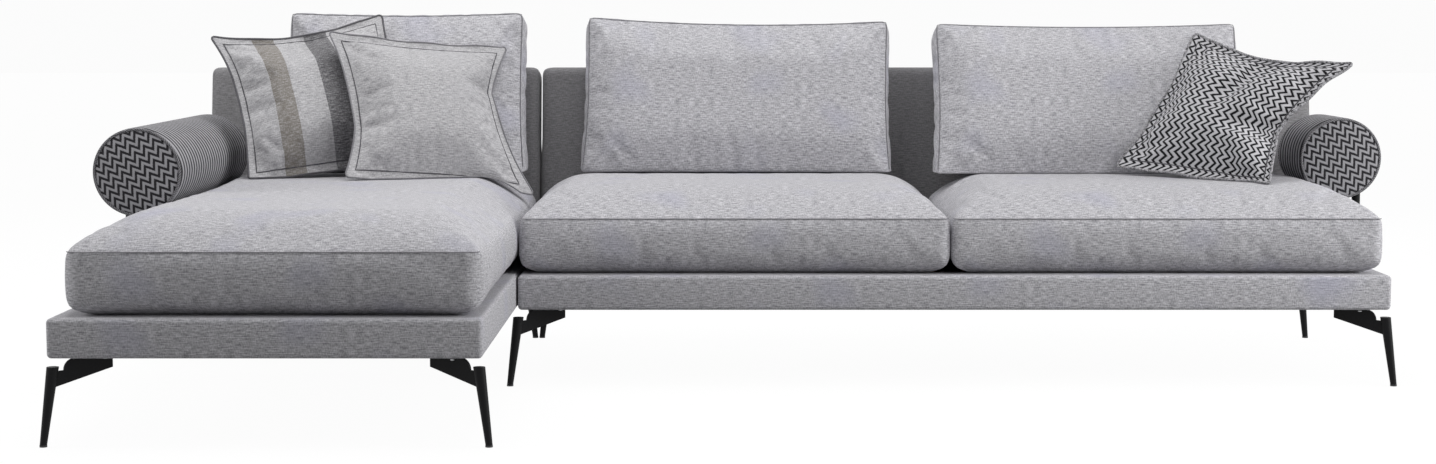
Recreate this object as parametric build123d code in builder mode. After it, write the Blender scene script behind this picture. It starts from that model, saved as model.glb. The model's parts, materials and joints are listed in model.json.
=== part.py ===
"""Corner sofa with a left-hand chaise, loose cushions, two arm rolls and splayed steel legs.

Millimetres, +Z up, the seats face -Y. The origin is on the floor under the middle of the sofa.
"""

import math
import os
from dataclasses import dataclass

from build123d import *

# Base boxes
chaise_width = 852
chaise_depth = 1585
sofa_width = 1989
sofa_depth = 822
module_gap = 4
base_bottom = 175
base_height = 79
base_corner_radius = 14
base_edge_radius = 6
cover_thickness = 3
top_hem = 72
rear_hem = 190
bottom_hem = 20

# Timber inside the bases
rail_thickness = 22
bearer_width = 120
bearer_thickness = 18
chaise_cross_rails = 3
sofa_cross_rails = 3
block_length = 115
block_width = 75
block_height = 40

# Straps and lining cloth
strap_width = 60
strap_thickness = 2
strap_pitch = 122
strap_lap = 40
strap_end_gap = 2
lining_thickness = 1.5
lining_gap = 1

# Leaning back panels
back_set = 122
back_lean = 9.5
back_height = 466
back_thickness = 100
back_edge_radius = 22
back_end_gap = 2
ladder_thickness = 40
ladder_margin = 30
ladder_bar = 60
chaise_ladder_windows = 2
sofa_ladder_windows = 4
bolt_radius = 4
bolt_head_radius = 8
bolt_head_height = 5
bolt_end_inset = 146
bolt_reach = 40

# Arm rolls and their posts
roll_diameter = 198
left_roll_inset = 24
right_roll_inset = 16
roll_height = 497
roll_rear_inset = 182
roll_edge_radius = 18
roll_dome = 6
roll_cover = 4
left_roll_length = 760
right_roll_length = 245
left_post_inset = 155
right_post_inset = 35
post_radius = 10
post_offset = 30
post_below_axis = 10
post_foot_width = 44
post_foot_reach = 28

# Legs
steel_plate = 4
leg_turn = 30
leg_end_inset = 17.5
leg_side_inset = 8
leg_side_inset_sofa_front_left = 0
leg_side_inset_chaise_joint_rear = 39
leg_side_inset_sofa_joint_rear = 13
tube_top_radius = 12
tube_foot_radius = 7
tube_drop = 18
tube_splay = 22
web_thickness = 5.5
web_start = 37
web_end = 118
web_end_depth = 26
web_foot_depth = 59
web_throat_depth = 27
web_throat_reach = 16
web_throat_rise = 1
flange_width = 44
flange_corner_radius = 6
glide_height = 4
glide_radius = 7.5

# Screws and joining plates
screw_radius = 2.25
screw_length = 24
screw_head_radius = 4.5
screw_head_height = 2.8
screw_clearance = 0.3
leg_screw_side = 13
leg_screw_end = 18
rail_screw_inset = 14
joining_plate_inset = 150
joining_plate_reach = 28
joining_plate_length = 60
joining_screw_spread = 18

# Seat cushions
seat_thickness = 196
seat_seam_height = 127
chaise_seat_side_inset = 28
sofa_seat_side_inset = 14
seat_front_inset = 18
seat_rear_inset = 132
seat_joint_inset = 1
seat_split_gap = 2
seat_corner_radius = 40
seat_draw = 4
# Rows of a soft form: a share of its height, and how far its outline is drawn in there
seat_border_rows = ((0, 40), (0.08, 18), (0.24, 4), (0.5, 0), (1, 5))
seat_crown_rows = ((0.25, 34), (0.55, 74), (0.82, 120), (0.95, 170), (1, 235))
seat_core_border_rows = ((0.03, 48), (0.11, 26), (0.27, 12), (0.97, 12))
seat_core_crown_rows = ((0.72, 112), (0.94, 246))

# Loose back cushions
back_cushion_thickness = 165
back_cushion_corner = 34
back_cushion_draw = 14
back_cushion_wall = 4
chaise_back_width = 600
chaise_back_height = 418
chaise_back_lean = 13
chaise_back_from_joint = 330
sofa_back_width = 772
sofa_back_height = 404
left_back_lean = 15
left_back_roll = -0.8
left_back_from_joint = 504
right_back_lean = 23
right_back_from_joint = 1391
right_back_forward = 22
cushion_sink = 12
back_cushion_rows = ((-1, 110), (-0.75, 42), (0, 0), (0.6, 20), (0.88, 62), (1, 120))
back_fill_rows = ((-1, 118), (0, 0), (0.7, 66), (1, 132))

# Scatter cushions
scatter_width = 440
scatter_height = 405
scatter_thickness = 105
scatter_border = 20
scatter_border_thickness = 3
scatter_corner = 16
scatter_draw = 10
scatter_wall = 3
scatter_rows = ((-1, 110), (-0.72, 50), (0, 0), (0.72, 50), (1, 110))
scatter_fill_rows = ((-1, 115), (0, 6), (1, 115))
# Each scatter cushion's middle: from the end of the sofa, from the sofa's front and above the seats
striped_spot = (321, 487, 192)
plain_spot = (601, 458, 161)
herringbone_spot = (280, 408, 158)
# Each scatter cushion's yaw, lean and roll
striped_turns = (-20, 27, 8)
plain_turns = (-24, 31, -5)
herringbone_turns = (42, 38, -7)

fit_gap = 0.3
fill_gap = 1.2
soft_corner_growth = 6

# Places worked out from the sizes above
base_top = base_bottom + base_height
rail_bottom = base_bottom + cover_thickness
rail_top = base_top - cover_thickness - strap_thickness
seat_bottom = base_top + fit_gap
seat_top = seat_bottom + seat_thickness
resting_height = seat_top + fit_gap
roll_radius = roll_diameter / 2
left_overhang = roll_radius - left_roll_inset
right_overhang = roll_radius - right_roll_inset
lean_cos = math.cos(math.radians(back_lean))
lean_sin = math.sin(math.radians(back_lean))
back_overhang = (
    back_thickness * lean_cos
    + back_height * lean_sin
    - back_edge_radius * (lean_cos + lean_sin - 1)
    - back_set
)
overall_width = left_overhang + chaise_width + module_gap + sofa_width + right_overhang
overall_depth = chaise_depth + back_overhang
chaise_left = left_overhang - overall_width / 2
chaise_right = chaise_left + chaise_width
sofa_left = chaise_right + module_gap
sofa_right = sofa_left + sofa_width
base_rear = overall_depth / 2 - back_overhang
sofa_front = base_rear - sofa_depth
roll_rear = base_rear - roll_rear_inset
screw_bottom = base_bottom - steel_plate

os.makedirs("parts", exist_ok=True)


@dataclass
class Module:
    """One upholstered base box with its back panel."""

    name: str
    left: float
    right: float
    depth: float
    cross_rails: int
    straps_across: bool
    ladder_windows: int

    @property
    def width(self):
        return self.right - self.left

    @property
    def front(self):
        return base_rear - self.depth

    def floor_plane(self, height):
        """Level plane at a height, centred on the base box."""
        return Plane(((self.left + self.right) / 2, base_rear - self.depth / 2, height))

    def back_plane(self, behind=0):
        """Leaning plane of the back panel's front face, or one that lies behind it."""
        foot = ((self.left + self.right) / 2, base_rear - back_set, base_top)
        front_face = Plane(foot, x_dir=(1, 0, 0), z_dir=(0, -lean_cos, lean_sin))
        return front_face.offset(-behind)


chaise = Module(
    "chaise", chaise_left, chaise_right, chaise_depth, chaise_cross_rails, True, chaise_ladder_windows
)
sofa = Module("sofa", sofa_left, sofa_right, sofa_depth, sofa_cross_rails, False, sofa_ladder_windows)
modules = (chaise, sofa)


@dataclass
class Leg:
    """One splayed steel leg: the base corner it stands under and the way to the base's middle."""

    name: str
    corner_x: float
    corner_y: float
    inward_x: int
    inward_y: int
    side_inset: float = leg_side_inset

    def plane(self):
        """Plane of the base's underside, with X along the web towards the base's middle."""
        turn = math.radians(leg_turn)
        along_web = (self.inward_x * math.cos(turn), self.inward_y * math.sin(turn), 0)
        top_x = self.corner_x + self.inward_x * self.side_inset
        top_y = self.corner_y + self.inward_y * leg_end_inset
        return Plane((top_x, top_y, base_bottom), x_dir=along_web, z_dir=(0, 0, 1))

    def screw_points(self):
        """One screw each side of the web, at opposite ends of the flange."""
        near = Vector(web_start + leg_screw_end, leg_screw_side)
        far = Vector(web_end - leg_screw_end, -leg_screw_side)
        return [self.plane().from_local_coords(point) for point in (near, far)]


legs = (
    Leg("leg_chaise_front_left", chaise_left, chaise.front, 1, 1),
    Leg("leg_chaise_front_right", chaise_right, chaise.front, -1, 1),
    Leg("leg_chaise_rear_left", chaise_left, base_rear, 1, -1),
    Leg("leg_chaise_rear_right", chaise_right, base_rear, -1, -1, leg_side_inset_chaise_joint_rear),
    Leg("leg_sofa_front_left", sofa_left, sofa_front, 1, 1, leg_side_inset_sofa_front_left),
    Leg("leg_sofa_front_right", sofa_right, sofa_front, -1, 1),
    Leg("leg_sofa_rear_left", sofa_left, base_rear, 1, -1, leg_side_inset_sofa_joint_rear),
    Leg("leg_sofa_rear_right", sofa_right, base_rear, -1, -1),
)
leg_screws = [point for leg in legs for point in leg.screw_points()]


@dataclass
class Roll:
    """One arm roll over the outer side of a base, on two posts."""

    name: str
    base_side: float
    outward: int
    inset: float
    length: float
    post_inset: float

    @property
    def front(self):
        return roll_rear - self.length

    @property
    def axis_x(self):
        return self.base_side - self.outward * self.inset

    @property
    def post_x(self):
        return self.base_side + self.outward * post_offset

    def post_places(self):
        return [(self.post_x, y) for y in (self.front + self.post_inset, roll_rear - self.post_inset)]

    def screw_points(self):
        """Two screws through each post's foot into the side rail."""
        screw_x = self.base_side - self.outward * rail_screw_inset
        spreads = (-leg_screw_side, leg_screw_side)
        post_ys = [y for _, y in self.post_places()]
        return [Vector(screw_x, y + spread, base_bottom) for y in post_ys for spread in spreads]


rolls = (
    Roll("left_roll", chaise_left, -1, left_roll_inset, left_roll_length, left_post_inset),
    Roll("right_roll", sofa_right, 1, right_roll_inset, right_roll_length, right_post_inset),
)

joining_places = [sofa_front + joining_plate_inset, base_rear - joining_plate_inset]
joining_screws = [
    Vector(x, y + spread, base_bottom)
    for y in joining_places
    for x in (chaise_right - rail_screw_inset, sofa_left + rail_screw_inset)
    for spread in (-joining_screw_spread, joining_screw_spread)
]
rail_screws = joining_screws + [point for roll in rolls for point in roll.screw_points()]
all_screws = leg_screws + rail_screws


def keep(piece, label):
    """Name a finished piece and write it to its own file."""
    piece.label = label
    export_step(piece, f"parts/{label}.step")


def drill(points, bottom, depth, radius):
    """Round holes, upwards from one height, in the piece that is being built."""
    with Locations(*[(point.X, point.Y, bottom) for point in points]):
        Cylinder(
            radius, depth, align=(Align.CENTER, Align.CENTER, Align.MIN), mode=Mode.SUBTRACT
        )


def within(points, module):
    """The points that lie under one base box."""
    return [point for point in points if module.left < point.X < module.right]


def bolt_points(module):
    """Where the back panel's bolts stand, in the middle of its ladder frame's bottom bar."""
    to_ladder = (back_thickness - cover_thickness - ladder_thickness / 2) / lean_cos
    bolt_y = base_rear - back_set + to_ladder + bolt_reach / 2 * lean_sin / lean_cos
    return [Vector(x, bolt_y) for x in (module.left + bolt_end_inset, module.right - bolt_end_inset)]


def make_base_cover(module):
    """Cloth wrapped round the timber box, hemmed in over its top and under its bottom."""
    room_width = module.width - 2 * cover_thickness
    room_depth = module.depth - 2 * cover_thickness
    top_opening_depth = module.depth - top_hem - rear_hem
    with BuildPart() as cover:
        with BuildSketch(module.floor_plane(base_bottom)):
            RectangleRounded(module.width, module.depth, base_corner_radius)
        extrude(amount=base_height)
        fillet(cover.faces().sort_by(Axis.Z)[0].edges(), base_edge_radius)
        fillet(cover.faces().sort_by(Axis.Z)[-1].edges(), base_edge_radius)
        with BuildSketch(module.floor_plane(rail_bottom)):
            RectangleRounded(room_width, room_depth, base_corner_radius - cover_thickness)
        extrude(amount=base_height - 2 * cover_thickness, mode=Mode.SUBTRACT)
        with BuildSketch(module.floor_plane(base_bottom)):
            Rectangle(module.width - 2 * bottom_hem, module.depth - 2 * bottom_hem)
        extrude(amount=cover_thickness, mode=Mode.SUBTRACT)
        with BuildSketch(module.floor_plane(base_top)):
            with Locations((0, (top_hem - rear_hem) / 2)):
                Rectangle(module.width - 2 * top_hem, top_opening_depth)
        extrude(amount=-cover_thickness, mode=Mode.SUBTRACT)
        drill(within(rail_screws, module), base_bottom, cover_thickness, screw_radius + screw_clearance)
        drill(bolt_points(module), base_top - cover_thickness, cover_thickness, bolt_radius + fit_gap)
    keep(cover.part, f"{module.name}_base_cover")


def make_rails(module):
    """Side rails and end rails on edge, and cross rails below a flat bearer for the back panel."""
    room_width = module.width - 2 * cover_thickness
    room_depth = module.depth - 2 * cover_thickness
    clear_width = room_width - 2 * rail_thickness
    clear_depth = room_depth - 2 * rail_thickness
    cross_height = rail_top - bearer_thickness - rail_bottom
    with BuildPart() as side_rails:
        with BuildSketch(module.floor_plane(rail_bottom)):
            RectangleRounded(room_width, room_depth, base_corner_radius - cover_thickness)
            Rectangle(clear_width, room_depth, mode=Mode.SUBTRACT)
        extrude(amount=rail_top - rail_bottom)
        drill(within(rail_screws, module), rail_bottom, screw_length, screw_radius + screw_clearance)
    keep(side_rails.part, f"{module.name}_side_rails")

    with BuildPart() as end_rails:
        with BuildSketch(module.floor_plane(rail_bottom)):
            Rectangle(clear_width, room_depth)
            Rectangle(clear_width, clear_depth, mode=Mode.SUBTRACT)
        extrude(amount=rail_top - rail_bottom)
    keep(end_rails.part, f"{module.name}_end_rails")

    with BuildPart() as cross_rails:
        with BuildSketch(module.floor_plane(rail_bottom)):
            if module.straps_across:
                with GridLocations(1, clear_depth / (module.cross_rails + 1), 1, module.cross_rails):
                    Rectangle(clear_width, rail_thickness)
            else:
                with GridLocations(clear_width / (module.cross_rails + 1), 1, module.cross_rails, 1):
                    Rectangle(rail_thickness, clear_depth)
        extrude(amount=cross_height)
    keep(cross_rails.part, f"{module.name}_cross_rails")

    with BuildPart() as bearer:
        with BuildSketch(module.floor_plane(rail_top - bearer_thickness)):
            with Locations((0, clear_depth / 2 - bearer_width / 2)):
                Rectangle(clear_width, bearer_width)
        extrude(amount=bearer_thickness)
        drill(bolt_points(module), rail_top - bearer_thickness, bearer_thickness, bolt_radius + fit_gap)
    keep(bearer.part, f"{module.name}_back_bearer")


def make_webbing(module):
    """Elastic straps side by side, stapled to the tops of the rails."""
    open_depth = module.depth - top_hem - rear_hem
    room_width = module.width - 2 * cover_thickness - 2 * strap_end_gap
    strap_front = module.front + cover_thickness + strap_end_gap
    strap_rear = base_rear - cover_thickness - rail_thickness - bearer_width + strap_lap
    with BuildPart() as webbing:
        if module.straps_across:
            strap_count = int((open_depth - strap_width) // strap_pitch) + 1
            with BuildSketch(module.floor_plane(rail_top)):
                with Locations((0, (top_hem - rear_hem) / 2)):
                    with GridLocations(1, strap_pitch, 1, strap_count):
                        Rectangle(room_width, strap_width)
        else:
            strap_count = int((module.width - 2 * top_hem - strap_width) // strap_pitch) + 1
            middle_y = (strap_front + strap_rear) / 2 - (base_rear - module.depth / 2)
            with BuildSketch(module.floor_plane(rail_top)):
                with Locations((0, middle_y)):
                    with GridLocations(strap_pitch, 1, strap_count, 1):
                        Rectangle(strap_width, strap_rear - strap_front)
        extrude(amount=strap_thickness)
    keep(webbing.part, f"{module.name}_webbing")


def make_lining(module):
    """Thin cloth that closes the underside, inside the cover's bottom hem."""
    margin = 2 * (bottom_hem + lining_gap)
    with BuildPart() as lining:
        with BuildSketch(module.floor_plane(rail_bottom - lining_thickness)):
            Rectangle(module.width - margin, module.depth - margin)
        extrude(amount=lining_thickness)
        drill(
            within(leg_screws, module),
            rail_bottom - lining_thickness,
            lining_thickness,
            screw_radius + screw_clearance,
        )
    keep(lining.part, f"{module.name}_lining")


def back_slab(module, inset):
    """The back panel's rounded slab, drawn in on every side, standing on the base."""
    hidden = 2 * back_edge_radius
    slab_width = module.width - back_end_gap - 2 * inset
    slab_height = back_height + hidden - inset
    with BuildPart() as slab:
        with BuildSketch(module.back_plane(inset)):
            with Locations((0, slab_height / 2 - hidden)):
                Rectangle(slab_width, slab_height)
        extrude(amount=-(back_thickness - 2 * inset))
        fillet(slab.edges(), back_edge_radius - inset)
        split(bisect_by=Plane.XY.offset(base_top), keep=Keep.TOP)
    return slab.part


def make_back(module):
    """Cloth cover, foam pad and timber ladder frame of one back panel."""
    with BuildPart() as cover:
        add(back_slab(module, 0))
        add(back_slab(module, cover_thickness), mode=Mode.SUBTRACT)
    keep(cover.part, f"{module.name}_back_cover")

    ladder_behind = back_thickness - cover_thickness - ladder_thickness
    ladder_width = module.width - back_end_gap - 2 * ladder_margin
    ladder_height = back_height - ladder_margin
    window_pitch = (ladder_width - ladder_bar) / module.ladder_windows
    with BuildPart() as ladder:
        with BuildSketch(module.back_plane(ladder_behind)):
            Rectangle(ladder_width, 2 * ladder_height)
            with Locations((0, ladder_height / 2)):
                with GridLocations(window_pitch, 1, module.ladder_windows, 1):
                    Rectangle(
                        window_pitch - ladder_bar, ladder_height - 2 * ladder_bar, mode=Mode.SUBTRACT
                    )
        extrude(amount=-ladder_thickness)
        split(bisect_by=Plane.XY.offset(base_top), keep=Keep.TOP)
        drill(bolt_points(module), base_top, bolt_reach + fit_gap, bolt_radius + fit_gap)
    keep(ladder.part, f"{module.name}_back_frame")

    with BuildPart() as foam:
        add(back_slab(module, cover_thickness + fit_gap))
        with BuildSketch(module.back_plane(ladder_behind)):
            Rectangle(ladder_width + 2 * fit_gap, 2 * (ladder_height + fit_gap))
        extrude(amount=-back_thickness, mode=Mode.SUBTRACT)
    keep(foam.part, f"{module.name}_back_foam")


def make_corner_blocks():
    """Glued blocks in the base corners that the leg screws bite into."""
    rail_inside = cover_thickness + rail_thickness
    with BuildPart() as blocks:
        for leg in legs:
            centre_x = leg.corner_x + leg.inward_x * (rail_inside + block_length / 2)
            centre_y = leg.corner_y + leg.inward_y * (rail_inside + block_width / 2)
            with Locations((centre_x, centre_y, rail_bottom)):
                Box(block_length, block_width, block_height, align=(Align.CENTER, Align.CENTER, Align.MIN))
        drill(leg_screws, rail_bottom, screw_length, screw_radius + screw_clearance)
    keep(blocks.part, "corner_blocks")


def make_tube(leg):
    """Round tapered tube along its own slanted axis, cut level at its top and at its foot."""
    plane = leg.plane()
    top = plane.from_local_coords(Vector(0, 0, -tube_drop))
    foot = plane.from_local_coords(Vector(-tube_splay, 0, glide_height - base_bottom))
    slope = foot - top
    spare = tube_top_radius * tube_splay / slope.length
    start = top - slope.normalized() * spare
    with BuildPart() as tube:
        with Locations(Plane(start, x_dir=plane.y_dir, z_dir=slope)):
            Cone(
                tube_top_radius,
                tube_foot_radius,
                slope.length + 2 * spare,
                align=(Align.CENTER, Align.CENTER, Align.MIN),
            )
        split(bisect_by=Plane.XY.offset(base_bottom - tube_drop), keep=Keep.BOTTOM)
        split(bisect_by=Plane.XY.offset(glide_height), keep=Keep.TOP)
    return tube.part


def make_leg(leg):
    """Screw flange, cut-out web plate and tapered splayed tube, welded into one piece."""
    plane = leg.plane()
    web_plane = Plane(plane.origin, x_dir=plane.x_dir, z_dir=plane.x_dir.cross(plane.z_dir))
    throat = (web_start - web_throat_reach, web_throat_rise - web_throat_depth)
    with BuildPart() as steel:
        with BuildSketch(plane):
            with Locations(((web_start + web_end) / 2, 0)):
                RectangleRounded(web_end - web_start, flange_width, flange_corner_radius)
        extrude(amount=-steel_plate)
        with BuildSketch(web_plane):
            with BuildLine():
                Polyline(
                    (web_start, -steel_plate),
                    (web_end, -steel_plate),
                    (web_end, -web_end_depth),
                    (0, -web_foot_depth),
                    (0, -web_throat_depth),
                    throat,
                )
                RadiusArc(throat, (web_start, -steel_plate), web_throat_depth - steel_plate)
            make_face()
        extrude(amount=web_thickness / 2, both=True)
        add(make_tube(leg))
        drill(leg.screw_points(), screw_bottom, steel_plate, screw_radius + screw_clearance)
    keep(steel.part, leg.name)


def make_glides():
    """Plastic pads pushed on under the tubes."""
    with BuildPart() as glides:
        for leg in legs:
            foot = leg.plane().from_local_coords(Vector(-tube_splay, 0, 0))
            with Locations((foot.X, foot.Y, 0)):
                Cylinder(glide_radius, glide_height, align=(Align.CENTER, Align.CENTER, Align.MIN))
    keep(glides.part, "glides")


def make_screws():
    """Pan-head screws under the leg flanges, joining plates and post feet."""
    upright = (Align.CENTER, Align.CENTER, Align.MIN)
    head_bottom = screw_bottom - screw_head_height
    with BuildPart() as screws:
        with Locations(*[(point.X, point.Y, head_bottom) for point in all_screws]):
            Cylinder(screw_head_radius, screw_head_height, align=upright)
        with Locations(*[(point.X, point.Y, screw_bottom) for point in all_screws]):
            Cylinder(screw_radius, screw_length, align=upright)
    keep(screws.part, "base_screws")


def make_back_bolts():
    """Bolts up through the bearers into the ladder frames."""
    upright = (Align.CENTER, Align.CENTER, Align.MIN)
    points = [point for module in modules for point in bolt_points(module)]
    head_top = rail_top - bearer_thickness
    with BuildPart() as bolts:
        with Locations(*[(point.X, point.Y, head_top - bolt_head_height) for point in points]):
            Cylinder(bolt_head_radius, bolt_head_height, align=upright)
        with Locations(*[(point.X, point.Y, head_top) for point in points]):
            Cylinder(bolt_radius, base_top + bolt_reach - head_top, align=upright)
    keep(bolts.part, "back_bolts")


def make_joining_plates():
    """Flat steel plates under the joint of the two bases."""
    plate_width = 2 * joining_plate_reach + module_gap
    with BuildPart() as plates:
        for place in joining_places:
            with BuildSketch(Plane(((chaise_right + sofa_left) / 2, place, base_bottom))):
                RectangleRounded(plate_width, joining_plate_length, flange_corner_radius)
            extrude(amount=-steel_plate)
        drill(joining_screws, screw_bottom, steel_plate, screw_radius + screw_clearance)
    keep(plates.part, "joining_plates")


def make_roll(roll):
    """Padded roll with slightly domed ends, its foam core, and the steel posts that carry it."""
    radius = roll_radius
    side_plane = Plane((roll.axis_x, roll.front, roll_height), x_dir=(0, 1, 0), z_dir=(1, 0, 0))
    roll_axis = Axis((roll.axis_x, roll.front, roll_height), (0, 1, 0))
    room_rear = (roll.axis_x, roll_rear - roll_dome - roll_cover, roll_height)
    rear_plane = Plane(room_rear, x_dir=(1, 0, 0), z_dir=(0, -1, 0))
    room_length = roll.length - 2 * (roll_dome + roll_cover)
    post_top = roll_height - post_below_axis
    rim = radius - roll_edge_radius
    near_rim = roll_dome + roll_edge_radius
    far_rim = roll.length - near_rim
    with BuildPart() as cover:
        with BuildSketch(side_plane):
            with BuildLine():
                Line((0, 0), (roll_dome, rim))
                RadiusArc((roll_dome, rim), (near_rim, radius), roll_edge_radius)
                Line((near_rim, radius), (far_rim, radius))
                RadiusArc((far_rim, radius), (roll.length - roll_dome, rim), roll_edge_radius)
                Line((roll.length - roll_dome, rim), (roll.length, 0))
                Line((roll.length, 0), (0, 0))
            make_face()
        revolve(axis=roll_axis)
        with BuildSketch(rear_plane):
            Circle(radius - roll_edge_radius / 2)
        extrude(amount=room_length, mode=Mode.SUBTRACT)
        with Locations(*[(x, y, base_top) for x, y in roll.post_places()]):
            Cylinder(
                post_radius + fit_gap,
                post_top - base_top,
                align=(Align.CENTER, Align.CENTER, Align.MIN),
                mode=Mode.SUBTRACT,
            )
    keep(cover.part, f"{roll.name}_cover")

    with BuildPart() as core:
        with BuildSketch(rear_plane.offset(fit_gap)):
            Circle(radius - roll_edge_radius / 2 - fit_gap)
        extrude(amount=room_length - 2 * fit_gap)
        with Locations(*[(x, y, base_top) for x, y in roll.post_places()]):
            Cylinder(
                post_radius + fit_gap,
                post_top - base_top,
                align=(Align.CENTER, Align.CENTER, Align.MIN),
                mode=Mode.SUBTRACT,
            )
    keep(core.part, f"{roll.name}_core")

    foot_length = post_offset + post_foot_reach + post_foot_width / 2
    foot_shift = (post_offset + post_foot_width / 2 - post_foot_reach) / 2
    foot_middle = roll.base_side + roll.outward * foot_shift
    with BuildPart() as posts:
        for x, y in roll.post_places():
            with BuildSketch(Plane((foot_middle, y, base_bottom))):
                RectangleRounded(foot_length, post_foot_width, flange_corner_radius)
            extrude(amount=-steel_plate)
            with Locations((x, y, screw_bottom)):
                Cylinder(
                    post_radius, post_top - screw_bottom, align=(Align.CENTER, Align.CENTER, Align.MIN)
                )
        drill(roll.screw_points(), screw_bottom, steel_plate, screw_radius + screw_clearance)
    keep(posts.part, f"{roll.name}_posts")


def soft_outline(plane, width, height, corner, draw):
    """Round-cornered outline whose four sides are drawn in between the corners."""
    half_width = width / 2
    half_height = height / 2
    on_arc = corner * (1 - math.sqrt(0.5))
    with BuildSketch(plane) as outline:
        with BuildLine():
            for turned in (1, -1):
                right = turned * half_width
                top = turned * half_height
                bow = turned * draw
                bend = turned * corner
                mid_bend = turned * on_arc
                ThreePointArc((bend - right, -top), (0, bow - top), (right - bend, -top))
                ThreePointArc((right - bend, -top), (right - mid_bend, mid_bend - top), (right, bend - top))
                ThreePointArc((right, bend - top), (right - bow, 0), (right, top - bend))
                ThreePointArc((right, top - bend), (right - mid_bend, top - mid_bend), (right - bend, top))
        make_face()
    return outline.sketch


def soft_form(plane, width, height, corner, draw, stations):
    """Stuffed form through a row of outlines: each station is a rise along the plane and an inset."""
    full_side = min(width, height) - 2 * corner
    outlines = []
    for rise, inset in stations:
        bend = corner + inset / soft_corner_growth
        side = min(width, height) - 2 * inset - 2 * bend
        outline_plane = plane.offset(rise)
        outlines.append(
            soft_outline(
                outline_plane, width - 2 * inset, height - 2 * inset, bend, draw * side / full_side
            )
        )
    with BuildPart() as form:
        loft(outlines, ruled=True)
    return form.part


def make_seat(label, left, right, front):
    """Boxed seat cushion: soft bottom edge, seam round the border and a crowned top."""
    rear = base_rear - seat_rear_inset
    plane = Plane(((left + right) / 2, (front + rear) / 2, seat_bottom))
    crown = seat_thickness - seat_seam_height

    def stations(border_rows, crown_rows):
        border = [(share * seat_seam_height, inset) for share, inset in border_rows]
        return border + [(seat_seam_height + share * crown, inset) for share, inset in crown_rows]

    outer = stations(seat_border_rows, seat_crown_rows)
    inner = stations(seat_core_border_rows, seat_core_crown_rows)
    with BuildPart() as cover:
        add(soft_form(plane, right - left, rear - front, seat_corner_radius, seat_draw, outer))
        add(
            soft_form(plane, right - left, rear - front, seat_corner_radius, seat_draw, inner),
            mode=Mode.SUBTRACT,
        )
    keep(cover.part, f"{label}_cover")

    core_width = right - left - 2 * fit_gap
    core_depth = rear - front - 2 * fit_gap
    core = soft_form(plane, core_width, core_depth, seat_corner_radius, seat_draw, inner)
    keep(core, f"{label}_core")


def facing_plane(place, yaw, lean, roll):
    """Plane of a cushion: yaw turns it to the left, lean tips it back, roll lifts its right end."""
    turn = math.radians(yaw)
    tip = math.radians(lean)
    swing = math.radians(roll)
    facing = Vector(-math.sin(turn), -math.cos(turn), 0)
    sideways = Vector(math.cos(turn), -math.sin(turn), 0)
    upwards = Vector(0, 0, math.cos(tip)) - facing * math.sin(tip)
    outwards = facing * math.cos(tip) + Vector(0, 0, math.sin(tip))
    along = sideways * math.cos(swing) + upwards * math.sin(swing)
    return Plane(place, x_dir=along, z_dir=outwards)


def make_back_cushion(label, middle_x, width, height, lean, roll=0, forward=0):
    """Loose back cushion: drawn-in sides, flat where it stands on the seat and leans on the panel."""
    half = back_cushion_thickness / 2
    reach = height / 2 - cushion_sink
    panel_run = (resting_height + reach - base_top) * lean_sin / lean_cos
    place = (
        middle_x,
        base_rear - back_set + panel_run - half - forward,
        resting_height + reach * math.cos(math.radians(lean)),
    )
    plane = facing_plane(place, 0, lean, roll)

    def formed(wall, ease, shape):
        half_room = half - wall - ease
        stations = [(share * half_room, inset) for share, inset in shape]
        with BuildPart() as form:
            add(
                soft_form(
                    plane,
                    width - 2 * (wall + ease),
                    height - 2 * (wall + ease),
                    back_cushion_corner,
                    back_cushion_draw,
                    stations,
                )
            )
            split(bisect_by=Plane.XY.offset(resting_height + wall), keep=Keep.TOP)
            split(bisect_by=chaise.back_plane(-(fit_gap + wall + ease)), keep=Keep.TOP)
        return form.part

    with BuildPart() as cover:
        add(formed(0, 0, back_cushion_rows))
        add(formed(back_cushion_wall, 0, back_fill_rows), mode=Mode.SUBTRACT)
    keep(cover.part, f"{label}_cover")
    keep(formed(back_cushion_wall, fill_gap, back_fill_rows), f"{label}_fill")


def make_scatter_cushion(label, end, inward, spot, turns):
    """Scatter cushion with a flat sewn border, its corner flattened where it stands on the seat."""
    from_end, from_front, above_seat = spot
    place = (end + inward * from_end, sofa_front + from_front, resting_height + above_seat)
    plane = facing_plane(place, *turns)

    def formed(wall, ease, shape):
        half_room = scatter_thickness / 2 - wall - ease
        stations = [(share * half_room, inset) for share, inset in shape]
        shrink = 2 * (scatter_border + wall + ease)
        with BuildPart() as form:
            add(
                soft_form(
                    plane,
                    scatter_width - shrink,
                    scatter_height - shrink,
                    scatter_corner,
                    scatter_draw,
                    stations,
                )
            )
            split(bisect_by=Plane.XY.offset(resting_height + wall), keep=Keep.TOP)
        return form.part

    with BuildPart() as border:
        add(soft_outline(plane, scatter_width, scatter_height, scatter_corner, scatter_draw))
        extrude(amount=scatter_border_thickness / 2, both=True)
        split(bisect_by=Plane.XY.offset(resting_height), keep=Keep.TOP)

    with BuildPart() as cover:
        add(formed(0, 0, scatter_rows))
        add(border.part)
        add(formed(scatter_wall, 0, scatter_fill_rows), mode=Mode.SUBTRACT)
    keep(cover.part, f"{label}_cover")
    keep(formed(scatter_wall, fill_gap, scatter_fill_rows), f"{label}_fill")


for module in modules:
    make_base_cover(module)
    make_rails(module)
    make_webbing(module)
    make_lining(module)
    make_back(module)

make_corner_blocks()
for leg in legs:
    make_leg(leg)
make_glides()
make_screws()
make_back_bolts()
make_joining_plates()
for roll in rolls:
    make_roll(roll)

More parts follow.
